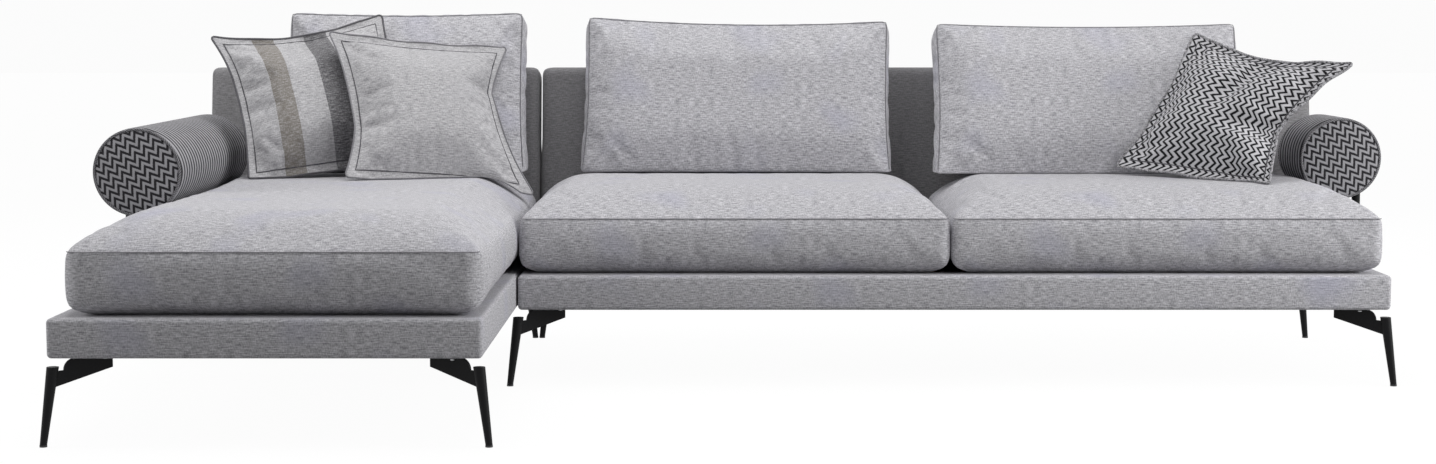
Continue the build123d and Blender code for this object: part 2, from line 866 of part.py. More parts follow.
chaise_seat_front = chaise.front + seat_front_inset
sofa_seat_front = sofa_front + seat_front_inset
sofa_seats_left = sofa_left + seat_joint_inset
sofa_seats_right = sofa_right - sofa_seat_side_inset
sofa_seats_middle = (sofa_seats_left + sofa_seats_right) / 2
make_seat(
    "chaise_seat", chaise_left + chaise_seat_side_inset, chaise_right - seat_joint_inset, chaise_seat_front
)
make_seat("left_seat", sofa_seats_left, sofa_seats_middle - seat_split_gap / 2, sofa_seat_front)
make_seat("right_seat", sofa_seats_middle + seat_split_gap / 2, sofa_seats_right, sofa_seat_front)

make_back_cushion(
    "chaise_back_cushion",
    chaise_right - chaise_back_from_joint,
    chaise_back_width,
    chaise_back_height,
    chaise_back_lean,
)
make_back_cushion(
    "left_back_cushion",
    sofa_left + left_back_from_joint,
    sofa_back_width,
    sofa_back_height,
    left_back_lean,
    roll=left_back_roll,
)
make_back_cushion(
    "right_back_cushion",
    sofa_left + right_back_from_joint,
    sofa_back_width,
    sofa_back_height,
    right_back_lean,
    forward=right_back_forward,
)

make_scatter_cushion("striped_cushion", chaise_left, 1, striped_spot, striped_turns)
make_scatter_cushion("plain_cushion", chaise_left, 1, plain_spot, plain_turns)
make_scatter_cushion("herringbone_cushion", sofa_right, -1, herringbone_spot, herringbone_turns)
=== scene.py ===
# %% [markdown]
# # A corner sofa dressed in cloth
# The CAD frame holds every rigid piece of this sofa at its true size: legs, posts, timber, screws.
# Here the frame gets its finishes, and every soft piece is modelled again as sewn and stuffed cloth:
# base covers, back panels, seat cushions, back cushions, scatter cushions and arm rolls.
# All lengths are in metres, +Z is up and the seats face -Y.

# %% Load the frame
import json
import math

import bmesh
import bpy
import numpy as np
from mathutils import Matrix, Vector


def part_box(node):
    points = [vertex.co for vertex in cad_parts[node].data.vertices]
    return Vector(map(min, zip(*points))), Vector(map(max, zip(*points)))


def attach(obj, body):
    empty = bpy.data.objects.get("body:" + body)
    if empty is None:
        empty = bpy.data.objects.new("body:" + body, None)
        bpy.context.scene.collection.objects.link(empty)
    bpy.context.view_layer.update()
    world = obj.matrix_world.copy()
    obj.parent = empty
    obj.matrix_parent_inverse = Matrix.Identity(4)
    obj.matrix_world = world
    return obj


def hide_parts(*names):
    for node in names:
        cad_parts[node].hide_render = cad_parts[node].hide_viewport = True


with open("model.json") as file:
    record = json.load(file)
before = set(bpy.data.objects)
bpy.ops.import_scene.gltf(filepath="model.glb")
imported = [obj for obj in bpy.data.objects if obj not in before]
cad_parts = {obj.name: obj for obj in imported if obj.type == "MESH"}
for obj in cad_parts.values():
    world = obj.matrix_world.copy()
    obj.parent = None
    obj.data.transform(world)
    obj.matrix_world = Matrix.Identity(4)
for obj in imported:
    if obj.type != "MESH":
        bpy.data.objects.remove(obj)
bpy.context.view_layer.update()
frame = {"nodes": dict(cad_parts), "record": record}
slot_of = {row["node"]: row["material_slot"] for row in frame["record"]["subparts"]}

# %% [markdown]
# ## Finishes
# Cloth is drawn by shaders, from the size of its real threads. A picture of cloth would be quicker,
# but it repeats and blurs, while noise stretched along the weft and the warp stays crisp at any distance.
# Two small helpers are enough: one turns a written colour into linear light, one adds a shader node.


# %% Helpers for finishes
def linear(hex_code):
    """A colour written as on a web page, in the linear light that shaders use."""
    channels = [int(hex_code[start : start + 2], 16) / 255 for start in (1, 3, 5)]
    return [c / 12.92 if c <= 0.04045 else ((c + 0.055) / 1.055) ** 2.4 for c in channels] + [1]


def node(tree, kind, values=None, **settings):
    """One shader node with its settings. A value is a plain one, or another node's output to link."""
    made = tree.nodes.new("ShaderNode" + kind)
    for name, value in settings.items():
        setattr(made, name, value)
    for socket, value in (values or {}).items():
        if isinstance(value, bpy.types.NodeSocket):
            tree.links.new(value, made.inputs[socket])
        else:
            made.inputs[socket].default_value = value
    return made


def new_finish(name, roughness):
    """An empty finish: its material, its node tree and its surface shader."""
    material = bpy.data.materials.new(name)
    material.use_nodes = True
    shader = material.node_tree.nodes["Principled BSDF"]
    shader.inputs["Roughness"].default_value = roughness
    return material, material.node_tree, shader


def weave(tree, shader, height, strength, depth):
    """What all woven cloth shares: threads in relief, a soft edge light and hardly any shine."""
    bump = node(tree, "Bump", {"Height": height, "Strength": strength, "Distance": depth})
    tree.links.new(bump.outputs[0], shader.inputs["Normal"])
    shader.inputs["Sheen Weight"].default_value = 0.08
    shader.inputs["Specular IOR Level"].default_value = 0.2


# %% [markdown]
# ### Melange upholstery
# The grey cloth is woven from yarns of mixed dark and light fibres, so it shows fine streaks along its threads.
# One noise is stretched along the weft and a weaker one along the warp, and their sum picks dark or light yarn.
# A third, wide noise gives the faint bluish patches that a piece-dyed cloth has.

# %% Melange upholstery
# A yarn is about 1 mm thick and is drawn at 2.4 mm, because finer streaks would not show from the camera.
weft_length = 0.017
warp_length = 0.006
yarn_width = 0.0024
warp_share = 0.7
thread_relief = 0.0012
thread_tones = (0.64, 1.06)
patch_size = 0.16


def lay_threads(tree, place):
    """Two stretched noises added up: strong along the weft, weak along the warp."""
    along_weft = node(tree, "Mapping", {"Vector": place, "Scale": (1 / weft_length, 1 / yarn_width, 1)})
    along_warp = node(tree, "Mapping", {"Vector": place, "Scale": (1 / yarn_width, 1 / warp_length, 1)})
    weft = node(tree, "TexNoise", {"Vector": along_weft.outputs[0], "Scale": 1, "Detail": 3})
    warp = node(tree, "TexNoise", {"Vector": along_warp.outputs[0], "Scale": 1, "Detail": 3})
    threads = node(
        tree, "Math", {0: warp.outputs[0], 1: warp_share, 2: weft.outputs[0]}, operation="MULTIPLY_ADD"
    )
    return threads.outputs[0]


def make_melange(name, dark, light, patch):
    """Plain-woven melange cloth, laid out by the piece's own UV map in metres."""
    material, tree, shader = new_finish(name, 0.92)
    place = node(tree, "TexCoord").outputs["UV"]
    threads = lay_threads(tree, place)
    tone = node(tree, "MapRange", {0: threads, 1: thread_tones[0], 2: thread_tones[1]})
    yarn = node(
        tree, "Mix", {0: tone.outputs[0], 6: linear(dark), 7: linear(light)}, data_type="RGBA"
    )
    wide = node(tree, "TexNoise", {"Vector": place, "Scale": 1 / patch_size, "Detail": 1})
    amount = node(tree, "MapRange", {0: wide.outputs[0], 1: 0.56, 2: 0.80, 4: 0.45})
    dyed = node(
        tree, "Mix", {0: amount.outputs[0], 6: yarn.outputs[2], 7: linear(patch)}, data_type="RGBA"
    )
    tree.links.new(dyed.outputs[2], shader.inputs["Base Color"])
    weave(tree, shader, threads, 0.45, thread_relief)
    return material


# Wool-look polyester weaves: dull and soft, with streaks that are seen close by and even grey from afar.
grey_upholstery = make_melange("grey melange upholstery", "#8f8e93", "#d8d7db", "#a9a9bf")
plain_cloth = make_melange("pale scatter cushion cloth", "#939295", "#cdccce", "#b4b3b7")
# The back panels are the seats' grey cloth, darkened as painted shade for the shade that falls between the
# loose back cushions.
shaded_panel_cloth = make_melange("back panel cloth with painted shade", "#767577", "#9c9b9d", "#88878b")
print("melange cloths:", grey_upholstery.name, "|", plain_cloth.name, "|", shaded_panel_cloth.name)

# %% [markdown]
# ### Herringbone
# Herringbone is a twill whose diagonal turns over at every column, which makes a zigzag.
# Its shader folds the distance across the columns back and forth, adds it to the distance along them,
# and cuts the sum into dark and light strokes. The rolls' cloth is cut on the slant, the cushion's is not.

# %% Herringbone cloth
# The column and pitch of about 12 and 19 mm are measured on the photograph's repeat.
stroke_steepness = 1.4
stroke_relief = 0.0015
stroke_edge = 0.06
yarn_fuzz = 0.22
fuzz_size = 1 / 420
roll_turn = -35


def make_herringbone(name, turn, column, pitch, dark_share, dark, light):
    """Zigzag twill in two yarns: its turn on the piece in degrees, its column width and its row pitch."""
    material, tree, shader = new_finish(name, 0.9)
    place = node(tree, "TexCoord").outputs["UV"]
    turned = node(tree, "Mapping", {"Vector": place, "Rotation": (0, 0, math.radians(turn))})
    apart = node(tree, "SeparateXYZ", {0: turned.outputs[0]})
    across = node(tree, "Math", {0: apart.outputs[0], 1: column}, operation="DIVIDE")
    fold = node(tree, "Math", {0: across.outputs[0], 1: 1.0}, operation="PINGPONG")
    along = node(tree, "Math", {0: apart.outputs[1], 1: pitch}, operation="DIVIDE")
    climb = stroke_steepness * column / pitch
    stroke = node(tree, "Math", {0: fold.outputs[0], 1: climb, 2: along.outputs[0]}, operation="MULTIPLY_ADD")
    wave = node(tree, "Math", {0: stroke.outputs[0], 1: 0.5}, operation="PINGPONG")
    fuzz = node(tree, "TexNoise", {"Vector": place, "Scale": 1 / fuzz_size, "Detail": 2})
    rough = node(
        tree, "Math", {0: fuzz.outputs[0], 1: yarn_fuzz, 2: wave.outputs[0]}, operation="MULTIPLY_ADD"
    )
    middle = yarn_fuzz / 2 + dark_share / 2
    share = node(
        tree, "MapRange", {0: rough.outputs[0], 1: middle - stroke_edge, 2: middle + stroke_edge}
    )
    twill = node(
        tree, "Mix", {0: share.outputs[0], 6: linear(dark), 7: linear(light)}, data_type="RGBA"
    )
    tree.links.new(twill.outputs[2], shader.inputs["Base Color"])
    weave(tree, shader, share.outputs[0], 0.5, stroke_relief)
    return material


roll_herringbone = make_herringbone(
    "herringbone roll cloth", roll_turn, 0.0122, 0.0188, 0.5, "#28272a", "#a6a5a9"
)
cushion_herringbone = make_herringbone(
    "herringbone cushion cloth", 90, 0.0112, 0.0200, 0.45, "#151417", "#c6c5c9"
)
print("herringbone:", roll_herringbone.name, "|", cushion_herringbone.name)

# %% [markdown]
# ### Striped cloth
# The striped cushion has two woven bands, one brownish and one dark grey, on the pale ground.
# Each band is a plain test on the distance across the cushion, so its edges stay straight along the cloth.

# %% Striped cloth
stripe_ground = ("#98979a", "#d2d1d3")
stripe_bands = ((-0.096, 0.027, "#7d776f"), (0.036, 0.029, "#565558"))


def make_striped(name):
    """Pale melange cloth with woven bands: each band is its middle, its half width and its colour."""
    material, tree, shader = new_finish(name, 0.92)
    place = node(tree, "TexCoord").outputs["UV"]
    threads = lay_threads(tree, place)
    tone = node(tree, "MapRange", {0: threads, 1: thread_tones[0], 2: thread_tones[1]})
    colour = node(
        tree,
        "Mix",
        {0: tone.outputs[0], 6: linear(stripe_ground[0]), 7: linear(stripe_ground[1])},
        data_type="RGBA",
    ).outputs[2]
    apart = node(tree, "SeparateXYZ", {0: place})
    for middle, half_width, band in stripe_bands:
        inside = node(
            tree, "Math", {0: apart.outputs[0], 1: 0.5 + middle, 2: half_width}, operation="COMPARE"
        )
        cover = node(tree, "MapRange", {0: tone.outputs[0], 3: 1.0, 4: 0.5})
        amount = node(tree, "Math", {0: inside.outputs[0], 1: cover.outputs[0]}, operation="MULTIPLY")
        colour = node(
            tree, "Mix", {0: amount.outputs[0], 6: colour, 7: linear(band)}, data_type="RGBA"
        ).outputs[2]
    tree.links.new(colour, shader.inputs["Base Color"])
    weave(tree, shader, threads, 0.45, thread_relief)
    return material


striped_cloth = make_striped("striped cushion cloth")
print("striped cloth:", len(stripe_bands), "bands")

# %% [markdown]
# ### Steel, timber and what is inside
# The legs and posts are powder-coated steel: near black, with a fine grain that breaks up the highlight.
# The timber is pine with stretched grain. Foam, fibre, straps and lining are plain cloth-like surfaces,
# seen only when cushions are pulled out or the sofa is turned over.


# %% Steel, timber and inner finishes
grain_relief = 0.0004
steel_shine = 0.15


def make_grained(name, first, second, roughness, grains, metallic=0.0):
    """A surface whose two tones are mixed by one noise, with its grains per metre along x, y and z."""
    material, tree, shader = new_finish(name, roughness)
    place = node(tree, "TexCoord").outputs["Object"]
    laid = node(tree, "Mapping", {"Vector": place, "Scale": grains})
    grain = node(tree, "TexNoise", {"Vector": laid.outputs[0], "Scale": 1, "Detail": 4})
    tone = node(tree, "MapRange", {0: grain.outputs[0], 1: 0.3, 2: 0.7})
    mixed = node(
        tree, "Mix", {0: tone.outputs[0], 6: linear(first), 7: linear(second)}, data_type="RGBA"
    )
    tree.links.new(mixed.outputs[2], shader.inputs["Base Color"])
    bump = node(tree, "Bump", {"Height": grain.outputs[0], "Strength": 0.3, "Distance": grain_relief})
    tree.links.new(bump.outputs[0], shader.inputs["Normal"])
    shader.inputs["Metallic"].default_value = metallic
    return material


finish = {
    "grey_upholstery": grey_upholstery,
    "herringbone_cloth": roll_herringbone,
    "striped_cushion_cloth": striped_cloth,
    "plain_cushion_cloth": plain_cloth,
    # Non-woven polypropylene: flat black without a highlight.
    "black_lining": make_grained("black lining cloth", "#161617", "#232325", 0.95, (600, 600, 600)),
    # Woven rubber thread: brown and dull.
    "webbing": make_grained("elastic webbing", "#3a2f28", "#54463b", 0.9, (350, 350, 350)),
    # Cut polyurethane foam: cream, with fine open cells.
    "foam": make_grained("seat foam", "#d9cfa8", "#e6ddbb", 0.95, (500, 500, 500)),
    # Polyester fibre: near white and cloudy.
    "fibre_fill": make_grained("fibre fill", "#dedcd8", "#f0efec", 0.95, (120, 120, 120)),
    # Planed pine: warm, with grain along the rail.
    "pine": make_grained("pine", "#b98d58", "#d7b382", 0.7, (6, 90, 90)),
    # Powder-coated steel: near black, with a broken, weak highlight.
    "black_steel": make_grained("black coated steel", "#09090b", "#0f0f11", 0.5, (900, 900, 900)),
    # Moulded polyethylene: dark grey and waxy.
    "glide_plastic": make_grained("glide plastic", "#2a2a2c", "#353537", 0.6, (400, 400, 400)),
    # Zinc-plated screws and plates: bright grey metal.
    "zinc_steel": make_grained("zinc plated steel", "#9a9b9d", "#b9babc", 0.35, (700, 700, 700), 1.0),
}
for name, piece in frame["nodes"].items():
    piece.data.materials.clear()
    piece.data.materials.append(finish[slot_of[name]])
steel_shader = finish["black_steel"].node_tree.nodes["Principled BSDF"]
steel_shader.inputs["Specular IOR Level"].default_value = steel_shine
print("finishes:", len(finish), "on", len(frame["nodes"]), "nodes")

# %% [markdown]
# ## Sewing helpers
# A sewn cushion starts as a box cut into even cells. The box's edges become the seams, and because the cells
# are laid out before the box is shaped, its UV map follows the threads of the real panels.
# The vertices are then moved by short formulas, as a sculptor would push them, and the cover is blown up.


# %% Box cut into cells
def gridded_box(name, width, depth, height, cell):
    """A box centred on the origin, cut into cells of about one size, with a UV map in metres."""
    bpy.ops.object.select_all(action="DESELECT")
    bpy.ops.mesh.primitive_cube_add(size=1)
    piece = bpy.context.object
    piece.name = name
    piece.data.name = name
    piece.scale = (width, depth, height)
    bpy.ops.object.transform_apply(location=False, rotation=False, scale=True)
    bpy.ops.object.mode_set(mode="EDIT")
    bpy.ops.mesh.select_mode(type="EDGE")
    for axis, length in enumerate((width, depth, height)):
        mesh = bmesh.from_edit_mesh(piece.data)
        for edge in mesh.edges:
            run = edge.verts[1].co - edge.verts[0].co
            edge.select_set(abs(run[axis]) > 0.5 * run.length)
        bmesh.update_edit_mesh(piece.data)
        bpy.ops.mesh.subdivide(number_cuts=max(1, round(length / cell) - 1))
    bpy.ops.mesh.select_all(action="SELECT")
    bpy.ops.uv.cube_project(cube_size=1.0, correct_aspect=False)
    bpy.ops.object.mode_set(mode="OBJECT")
    return piece


def points_of(piece):
    """The piece's vertices as rows of x, y and z."""
    flat = np.empty(len(piece.data.vertices) * 3)
    piece.data.vertices.foreach_get("co", flat)
    return flat.reshape(-1, 3)


def set_points(piece, points):
    """Moves the piece's vertices to these rows."""
    piece.data.vertices.foreach_set("co", points.ravel())
    piece.data.update()


# %% Shapes of stuffed cloth
def swell(distance, reach, power):
    """How far cloth has risen at a distance from its seam: 0 at the seam, 1 from the reach onwards."""
    return 1 - (1 - np.clip(distance / reach, 0, 1)) ** power


def edge_distance(points, width, depth):
    """Distance to the nearest side of a rectangle, rounded off where two sides meet."""
    aside = np.maximum(width / 2 - np.abs(points[:, 0]), 1e-5)
    ahead = np.maximum(depth / 2 - np.abs(points[:, 1]), 1e-5)
    return (aside**-4 + ahead**-4) ** -0.25


def round_corners(points, width, depth, radius):
    """Turns the square corners of the plan into quarter circles."""
    start = np.array([width / 2 - radius, depth / 2 - radius])
    past = np.clip((np.abs(points[:, :2]) - start) / radius, 0, None)
    inside = (past > 0).all(axis=1)
    square = np.minimum(past[inside], 1)
    disc = square * np.sqrt(1 - square[:, ::-1] ** 2 / 2)
    rounded = points.copy()
    rounded[inside, :2] = np.sign(points[inside, :2]) * (start + radius * disc)
    return rounded


def draw_in(points, width, depth, amount):
    """Pulls the sides in between the corners, as stuffing does."""
    drawn = points.copy()
    along_x = 1 - np.clip(np.abs(points[:, 0]) / (width / 2), 0, 1) ** 2
    along_y = 1 - np.clip(np.abs(points[:, 1]) / (depth / 2), 0, 1) ** 2
    drawn[:, 0] *= 1 - amount * along_y / (width / 2)
    drawn[:, 1] *= 1 - amount * along_x / (depth / 2)
    return drawn


# %% [markdown]
# The stuffing is a short cloth simulation with air pressure inside and the seams held still: the panels swell
# and the cloth puckers where the seam holds it. How far a point may move is capped, so the cushion keeps
# the size of its CAD solid. Gravity is off because the stuffing carries the cloth.


# %% Stuffing by cloth simulation
seam_radius = 0.0011
# Twisted polyester thread: a dull line, a little darker than the cloth.
seam_thread = make_grained("seam thread", "#7b7a7e", "#929195", 0.95, (300, 300, 300))


def stuff(piece, held, pressure, slack, cap, frames=20):
    """Blows a sewn cover up with its held vertices still. Slack is the share of spare cloth, which puckers."""
    before = points_of(piece)
    group = piece.vertex_groups.new(name="seams")
    group.add([int(index) for index in np.flatnonzero(held)], 1.0, "REPLACE")
    bpy.ops.object.select_all(action="DESELECT")
    bpy.context.view_layer.objects.active = piece
    cloth = piece.modifiers.new("Stuffing", "CLOTH")
    cloth.settings.quality = 4
    cloth.settings.use_pressure = True
    cloth.settings.uniform_pressure_force = pressure
    cloth.settings.vertex_group_mass = "seams"
    cloth.settings.shrink_min = -slack
    cloth.settings.shrink_max = -slack
    cloth.settings.effector_weights.gravity = 0
    cloth.collision_settings.use_collision = False
    cloth.point_cache.frame_end = frames
    for step in range(1, frames + 1):
        bpy.context.scene.frame_set(step)
    bpy.ops.object.modifier_apply(modifier=cloth.name)
    bpy.context.scene.frame_set(1)
    moved = points_of(piece) - before
    length = np.maximum(np.linalg.norm(moved, axis=1, keepdims=True), 1e-9)
    set_points(piece, before + moved * np.minimum(1, cap / length))
    print(piece.name, "stuffed, most moved", round(float(length.max()) * 1000, 1), "mm")


def sew_seam(piece, on_seam, body, label="seam", radius=seam_radius, thread=seam_thread):
    """A thin sewn line along the edges that join the marked vertices."""
    bpy.ops.object.select_all(action="DESELECT")
    piece.select_set(True)
    bpy.context.view_layer.objects.active = piece
    bpy.ops.object.mode_set(mode="EDIT")
    bpy.ops.mesh.select_mode(type="EDGE")
    bpy.ops.mesh.select_all(action="DESELECT")
    mesh = bmesh.from_edit_mesh(piece.data)
    for edge in mesh.edges:
        edge.select_set(all(on_seam[corner.index] for corner in edge.verts))
    bmesh.update_edit_mesh(piece.data)
    bpy.ops.mesh.duplicate()
    bpy.ops.mesh.separate(type="SELECTED")
    bpy.ops.object.mode_set(mode="OBJECT")
    line = next(o for o in bpy.context.selected_objects if o != piece)
    bpy.ops.object.select_all(action="DESELECT")
    line.select_set(True)
    bpy.context.view_layer.objects.active = line
    bpy.ops.object.convert(target="CURVE")
    line.data.bevel_depth = radius
    line.data.bevel_resolution = 1
    bpy.ops.object.convert(target="MESH")
    bpy.ops.object.shade_smooth()
    line.name = f"{body}_{label}"
    line.data.name = line.name
    line.vertex_groups.clear()
    line.data.materials.clear()
    line.data.materials.append(thread)
    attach(line, body)
    print(line.name, "has", len(line.data.polygons), "faces")


def finish_cloth(piece, cloth, body, nodes):
    """Smooths a cover, gives it its cloth, and lets it stand for its CAD nodes."""
    bpy.ops.object.select_all(action="DESELECT")
    piece.select_set(True)
    bpy.context.view_layer.objects.active = piece
    smooth = piece.modifiers.new("Smooth", "SUBSURF")
    smooth.levels = 1
    smooth.render_levels = 1
    bpy.ops.object.modifier_apply(modifier=smooth.name)
    bpy.ops.object.shade_smooth()
    piece.data.materials.clear()
    piece.data.materials.append(cloth)
    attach(piece, body)
    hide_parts(*nodes)
    print(piece.name, "has", len(piece.data.polygons), "faces")


# %% [markdown]
# ## Base covers
# Each base is a timber box pulled into tight cloth. The cloth is folded over the top edge as a hem, and the
# straps that carry the seat show between the hems, so the cover is open there and underneath.
# A cube at the CAD cover's size is bevelled, its top and bottom are inset by the hems and opened,
# and Solidify gives the cloth its thickness.

# %% Base covers
base_corner = 0.009
cloth_thickness = 0.003
side_hem = 0.072
rear_hem = 0.190
bottom_hem = 0.020


def open_panel(piece, sign, side, rear):
    """Insets the panel that faces up or down by its hems, and takes the middle out."""
    bpy.ops.object.mode_set(mode="EDIT")
    bpy.ops.mesh.select_mode(type="FACE")
    mesh = bmesh.from_edit_mesh(piece.data)
    for face in mesh.faces:
        face.select_set(face.normal.z * sign > 0.99)
    bmesh.update_edit_mesh(piece.data)
    bpy.ops.mesh.inset(thickness=side)
    mesh = bmesh.from_edit_mesh(piece.data)
    inner = [face for face in mesh.faces if face.select]
    rear_edge = max(corner.co.y for face in inner for corner in face.verts)
    for corner in inner[0].verts:
        if corner.co.y > rear_edge - 1e-4:
            corner.co.y -= rear - side
    bmesh.update_edit_mesh(piece.data)
    bpy.ops.mesh.delete(type="FACE")
    bpy.ops.object.mode_set(mode="OBJECT")


def make_base(module):
    """Cloth pulled over one base box, hemmed above and below."""
    low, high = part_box(f"{module}_base_cover")
    bpy.ops.object.select_all(action="DESELECT")
    bpy.ops.mesh.primitive_cube_add(size=1, location=(low + high) / 2)
    piece = bpy.context.object
    piece.name = f"{module}_base_cloth"
    piece.data.name = piece.name
    piece.scale = high - low
    bpy.ops.object.transform_apply(location=True, rotation=False, scale=True)
    bpy.ops.object.mode_set(mode="EDIT")
    bpy.ops.mesh.select_all(action="SELECT")
    bpy.ops.mesh.bevel(offset=base_corner, segments=5)
    bpy.ops.object.mode_set(mode="OBJECT")
    open_panel(piece, 1, side_hem, rear_hem)
    open_panel(piece, -1, bottom_hem, bottom_hem)
    cloth = piece.modifiers.new("Cloth", "SOLIDIFY")
    cloth.thickness = cloth_thickness
    cloth.offset = -1
    bpy.ops.object.modifier_apply(modifier=cloth.name)
    bpy.ops.object.mode_set(mode="EDIT")
    bpy.ops.mesh.select_all(action="SELECT")
    bpy.ops.uv.cube_project(cube_size=1.0, correct_aspect=False)
    bpy.ops.object.mode_set(mode="OBJECT")
    bpy.ops.object.shade_smooth_by_angle(angle=math.radians(40))
    piece.data.materials.append(grey_upholstery)
    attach(piece, "frame")
    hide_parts(f"{module}_base_cover")
    print(piece.name, "has", len(piece.data.polygons), "faces")


for module in ("chaise", "sofa"):
    make_base(module)

# %% [markdown]
# ## Back panels
# The two backs are upholstered boards that lean back, with all edges rolled over soft padding.
# A gridded box is rounded at its corners, crowned a little at the front and then leant back.
# The padding is fuller in the lower half, which closes the slit between the two panels there.

# %% Back panels
base_low, base_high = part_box("sofa_base_cover")
base_top = base_high.z
base_rear = base_high.y
back_set = 0.122
back_lean = math.radians(9.5)
back_height = 0.466
back_thickness = 0.100
back_roundness = 0.017
back_crown = 0.0015
back_crown_reach = 0.12
back_end_swell = 0.0024
back_swell_from = 0.10
back_swell_run = 0.15
back_cell = 0.014
cloth_gap = 0.0005


def make_back(module):
    """One padded back panel, modelled upright and then leant back about its lower front edge."""
    low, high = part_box(f"{module}_back_cover")
    width = high.x - low.x
    piece = gridded_box(f"{module}_back_cloth", width, back_height, back_thickness, back_cell)
    points = points_of(piece)
    half = np.array([width, back_height, back_thickness]) / 2
    inner = half - back_roundness
    past = np.clip(np.abs(points) - inner, 0, None) / back_roundness
    a, b, c = past.T
    ball = np.stack(
        [
            a * np.sqrt(1 - b**2 / 2 - c**2 / 2 + b**2 * c**2 / 3),
            b * np.sqrt(1 - c**2 / 2 - a**2 / 2 + c**2 * a**2 / 3),
            c * np.sqrt(1 - a**2 / 2 - b**2 / 2 + a**2 * b**2 / 3),
        ],
        axis=1,
    )
    points = np.sign(points) * (np.minimum(np.abs(points), inner) + back_roundness * ball)
    front = points[:, 2] > 0
    fullness = swell(edge_distance(points, width, back_height), back_crown_reach, 2)
    points[front, 2] -= back_crown * (1 - fullness[front])
    lower_half = np.clip((back_swell_from - points[:, 1] / back_height) / back_swell_run, 0, 1)
    points[:, 0] *= 1 + lower_half * back_end_swell / (width / 2)
    set_points(piece, points)
    lower_front = Vector(((low.x + high.x) / 2, base_rear - back_set, base_top))
    upwards = Vector((0, math.sin(back_lean), math.cos(back_lean)))
    outwards = Vector((0, -math.cos(back_lean), math.sin(back_lean)))
    middle = lower_front + upwards * back_height / 2 - outwards * back_thickness / 2
    place_piece(piece, middle, Vector((1, 0, 0)), upwards, outwards)
    points = points_of(piece)
    points[:, 2] = np.maximum(points[:, 2], base_top + cloth_gap)
    set_points(piece, points)
    nodes = [f"{module}_back_cover", f"{module}_back_foam"]
    # The panel's darker cloth is painted shade for the shade between the cushions.
    finish_cloth(piece, shaded_panel_cloth, "frame", nodes)


def place_piece(piece, middle, along, upwards, outwards):
    """Moves a piece modelled flat at the origin to its place, with its place kept in its mesh."""
    columns = Matrix((along, upwards, outwards)).transposed().to_4x4()
    piece.data.transform(Matrix.Translation(middle) @ columns)
    piece.data.update()


for module in ("chaise", "sofa"):
    make_back(module)

# %% [markdown]
# ## Seat cushions
# A seat cushion is boxed: a bottom panel, a border strip and a crowned top panel that meets the border
# in a seam. The seam is a row of held vertices, so the stuffing puckers the cloth along it.

# %% Seat cushions
seat_cell = 0.0135
seat_seam = 0.127
seat_draw = 0.004
seat_seam_run = 0.030
seat_crown_reach = 0.25
seat_crown_power = 4.0
seat_front_lead = 0.55
seat_border_heights = (0, 0.05, 0.10, 0.18, 0.28, 0.5, 0.93, 1)
seat_border_insets = (0.042, 0.022, 0.010, 0.004, 0.001, 0, 0.001, 0.004)
seat_stuffing = 2.5
seat_slack = 0.012
seat_spare = 0.007


def seat_distance(points, size):
    """Distance to a seat's nearest side, counted slower from the front, where the top rises gently."""
    led = points.copy()
    from_front = seat_front_lead * (points[:, 1] + size.y / 2) - size.y / 2
    led[:, 1] = np.where(points[:, 1] < 0, from_front, points[:, 1])
    return edge_distance(led, size.x, size.y)


def make_seat(name, corner):
    """Boxed seat cushion that fills the space of its CAD cover, with a corner radius seen from above."""
    low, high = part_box(f"{name}_cover")
    size = high - low
    piece = gridded_box(f"{name}_cloth", size.x, size.y, seat_seam, seat_cell)
    points = points_of(piece)
    points[:, 2] += seat_seam / 2
    top = points[:, 2] > seat_seam - 1e-5
    distance = seat_distance(points, size)
    on_side = (np.abs(points[:, 0]) > size.x / 2 - 1e-5) | (np.abs(points[:, 1]) > size.y / 2 - 1e-5)
    seam = on_side & (top | (points[:, 2] < 1e-5))
    crown = size.z - seat_seam
    up = points[:, 2] / seat_seam
    inset = np.interp(up, seat_border_heights, seat_border_insets)
    points[:, 0] *= 1 - inset / (size.x / 2)
    points[:, 1] *= 1 - inset / (size.y / 2)
    points = round_corners(points, size.x, size.y, corner)
    points = draw_in(points, size.x, size.y, seat_draw)
    points[top, 2] += crown * swell(distance[top], seat_crown_reach, seat_crown_power)
    set_points(piece, points)
    stuff(piece, seam | (points[:, 2] < 0.001), seat_stuffing, seat_slack, seat_spare)
    points = points_of(piece)
    points[:, 2] = np.clip(points[:, 2], 0.0, size.z)
    front_seam = seam & top & (points[:, 1] < seat_seam_run - size.y / 2)
    set_points(piece, points + np.array([(low.x + high.x) / 2, (low.y + high.y) / 2, low.z + cloth_gap]))
    sew_seam(piece, front_seam, name)
    nodes = [f"{name}_cover", f"{name}_core"]
    finish_cloth(piece, grey_upholstery, name, nodes)


seat_corners = {"chaise_seat": 0.038, "left_seat": 0.022, "right_seat": 0.022}
for name, corner in seat_corners.items():
    make_seat(name, corner)

# %% [markdown]
# ## Loose back cushions
# These are boxed too, but softer: a narrow border, full faces and a top edge that sags.
# Each is modelled flat, wider at the foot where its stuffing settles, then stuffed, leant against its panel
# and pressed flat where it stands on the seat.

# %% Loose back cushions
resting_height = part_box("left_seat_cover")[1].z + 0.0003
lean_run = math.tan(back_lean)
cushion_cell = 0.0115
cushion_border = 0.085
cushion_corner = 0.026
cushion_draw = 0.004
cushion_seam_inset = 0.006
cushion_flare = 0.025
cushion_thickness = 0.165
cushion_reach = 0.13
cushion_fullness = 2.2
cushion_stuffing = 3.0
cushion_slack = 0.03
cushion_spare = 0.011
cushion_sink = 0.012
cushion_gap = 0.0008


